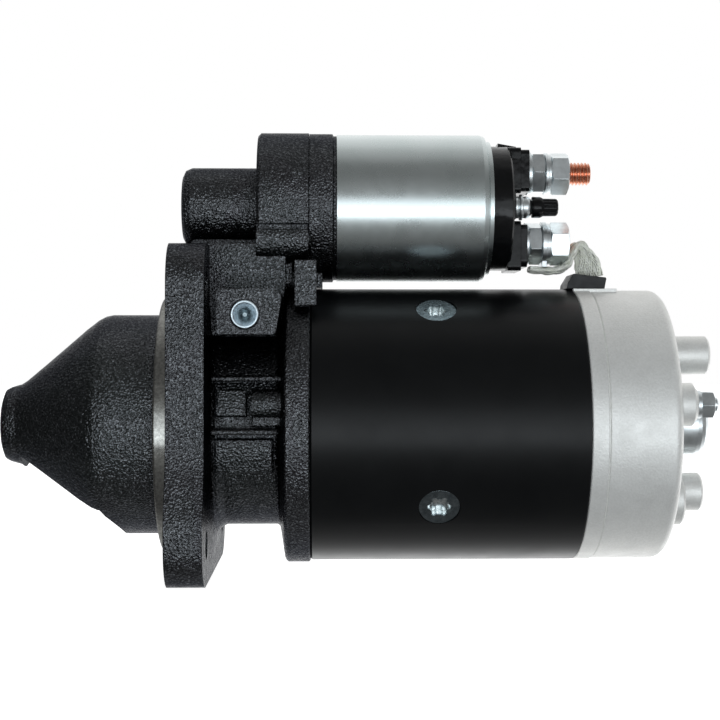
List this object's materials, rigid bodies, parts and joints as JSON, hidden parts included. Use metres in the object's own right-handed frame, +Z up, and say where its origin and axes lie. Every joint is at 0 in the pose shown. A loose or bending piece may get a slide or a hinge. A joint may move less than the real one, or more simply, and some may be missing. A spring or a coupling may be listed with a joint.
{
  "type": "starter motor",
  "caption": "Pre-engaged starter motor with a cast nose and square flange, a solenoid on top that throws the pinion through a lever, a black yoke and an aluminium end cover.",
  "frame": {"origin": "motor axis at the mounting face of the flange", "axes": "+X along the motor axis towards the end cover, +Z up towards the solenoid"},
  "size_m": [0.2995, 0.1339, 0.186],
  "materials": {
    "black_casting": "black paint over sand-cast iron, low gloss",
    "black_enamel": "smooth satin black enamel",
    "zinc_steel": "bright zinc plate, slightly blue",
    "can_steel": "satin zinc plate on drawn steel",
    "bare_steel": "machined steel with a film of oil",
    "dark_steel": "dark phosphate finish",
    "cast_aluminium": "fine blasted casting, matt",
    "bronze": "oil-soaked sintered bronze",
    "copper": "bare copper",
    "coil_copper": "varnished copper wire",
    "black_plastic": "moulded black thermoset",
    "rubber": "moulded black rubber",
    "fibre_braid": "woven glass-fibre sleeve",
    "carbon": "copper-graphite brush"
  },
  "bodies": {
    "motor": {"drive_end_housing": "black_casting", "nose_bush": "bronze", "lever_pivot_bolt": "zinc_steel", "lever_pivot_nut": "zinc_steel", "centre_bearing_plate": "bare_steel", "centre_bush": "bronze", "yoke": "black_enamel", "pole_shoes": "dark_steel", "field_coils": "coil_copper", "pole_screws": "zinc_steel", "end_cover": "cast_aluminium", "end_bush": "bronze", "shaft_cap": "zinc_steel", "through_bolts": "zinc_steel", "through_bolt_nuts": "zinc_steel", "through_bolt_washers": "zinc_steel", "brush_plate": "bare_steel", "brush_boxes": "bare_steel", "brush_springs": "bare_steel", "solenoid_flange": "black_enamel", "solenoid_screws": "zinc_steel", "solenoid_case": "can_steel", "solenoid_bobbin": "black_plastic", "solenoid_coil": "coil_copper", "solenoid_core": "bare_steel", "solenoid_cap": "black_plastic", "terminal_studs": "copper", "stud_nuts": "zinc_steel", "stud_washers": "zinc_steel", "control_terminal": "black_plastic", "lead_lug": "zinc_steel", "braided_lead": "fibre_braid", "lead_grommet": "rubber", "plunger_spring": "bare_steel", "contact_spring": "bare_steel"},
    "armature": {"armature_shaft": "bare_steel", "stop_ring": "dark_steel", "snap_ring": "bare_steel", "armature_core": "dark_steel", "armature_windings": "coil_copper", "commutator": "copper", "thrust_washers": "bare_steel", "shaft_clip": "dark_steel"},
    "drive": {"clutch_shell": "dark_steel", "clutch_rollers": "bare_steel", "clutch_springs": "bare_steel", "clutch_cover": "zinc_steel", "meshing_spring": "bare_steel", "guide_collar": "dark_steel"},
    "pinion": {"pinion": "bare_steel", "pinion_bush": "bronze"},
    "lever": {"shift_lever": "dark_steel", "fork_shoes": "bare_steel"},
    "plunger": {"plunger": "bare_steel", "plunger_link": "dark_steel"},
    "contact": {"contact_bridge": "copper"},
    "brush_1": {"brush_1": "carbon"},
    "brush_2": {"brush_2": "carbon"},
    "brush_3": {"brush_3": "carbon"},
    "brush_4": {"brush_4": "carbon"}
  },
  "joints": [
    {"name": "armature_spin", "type": "hinge", "parent": "motor", "child": "armature", "pos_m": [0, 0, 0], "axis": [1, 0, 0], "continuous": true},
    {"name": "drive_slide", "type": "slide", "parent": "armature", "child": "drive", "axis": [1, 0, 0], "range_m": [-0.01164, 0]},
    {"name": "pinion_overrun", "type": "hinge", "parent": "drive", "child": "pinion", "pos_m": [0, 0, 0], "axis": [1, 0, 0], "continuous": true},
    {"name": "plunger_slide", "type": "slide", "parent": "motor", "child": "plunger", "axis": [1, 0, 0], "range_m": [0, 0.012], "stiffness_N_per_m": 1500, "springref_m": -0.01, "deforming": ["plunger_spring"]},
    {"name": "lever_tilt", "type": "hinge", "parent": "motor", "child": "lever", "pos_m": [0.0305, 0, 0.0453], "axis": [0, 1, 0], "range_deg": [0, 14.64]},
    {"name": "contact_slide", "type": "slide", "parent": "motor", "child": "contact", "axis": [1, 0, 0], "range_m": [0, 0.003], "deforming": ["contact_spring"]},
    {"name": "brush_1_slide", "type": "slide", "parent": "motor", "child": "brush_1", "axis": [0, -0.5446, 0.8387], "range_m": [0, 0.005], "stiffness_N_per_m": 800, "springref_m": -0.012, "deforming": ["brush_springs"]},
    {"name": "brush_2_slide", "type": "slide", "parent": "motor", "child": "brush_2", "axis": [0, 0.8387, 0.5446], "range_m": [0, 0.005], "stiffness_N_per_m": 800, "springref_m": -0.012, "deforming": ["brush_springs"]},
    {"name": "brush_3_slide", "type": "slide", "parent": "motor", "child": "brush_3", "axis": [0, 0.5446, -0.8387], "range_m": [0, 0.005], "stiffness_N_per_m": 800, "springref_m": -0.012, "deforming": ["brush_springs"]},
    {"name": "brush_4_slide", "type": "slide", "parent": "motor", "child": "brush_4", "axis": [0, -0.8387, -0.5446], "range_m": [0, 0.005], "stiffness_N_per_m": 800, "springref_m": -0.012, "deforming": ["brush_springs"]}
  ],
  "couplings": [
    {"joint": "drive_slide", "follows": "plunger_slide", "ratio": -0.97002},
    {"joint": "lever_tilt", "follows": "plunger_slide", "rad_per_m": 21.297},
    {"joint": "contact_slide", "follows": "plunger_slide", "ratio": 0.25}
  ]
}
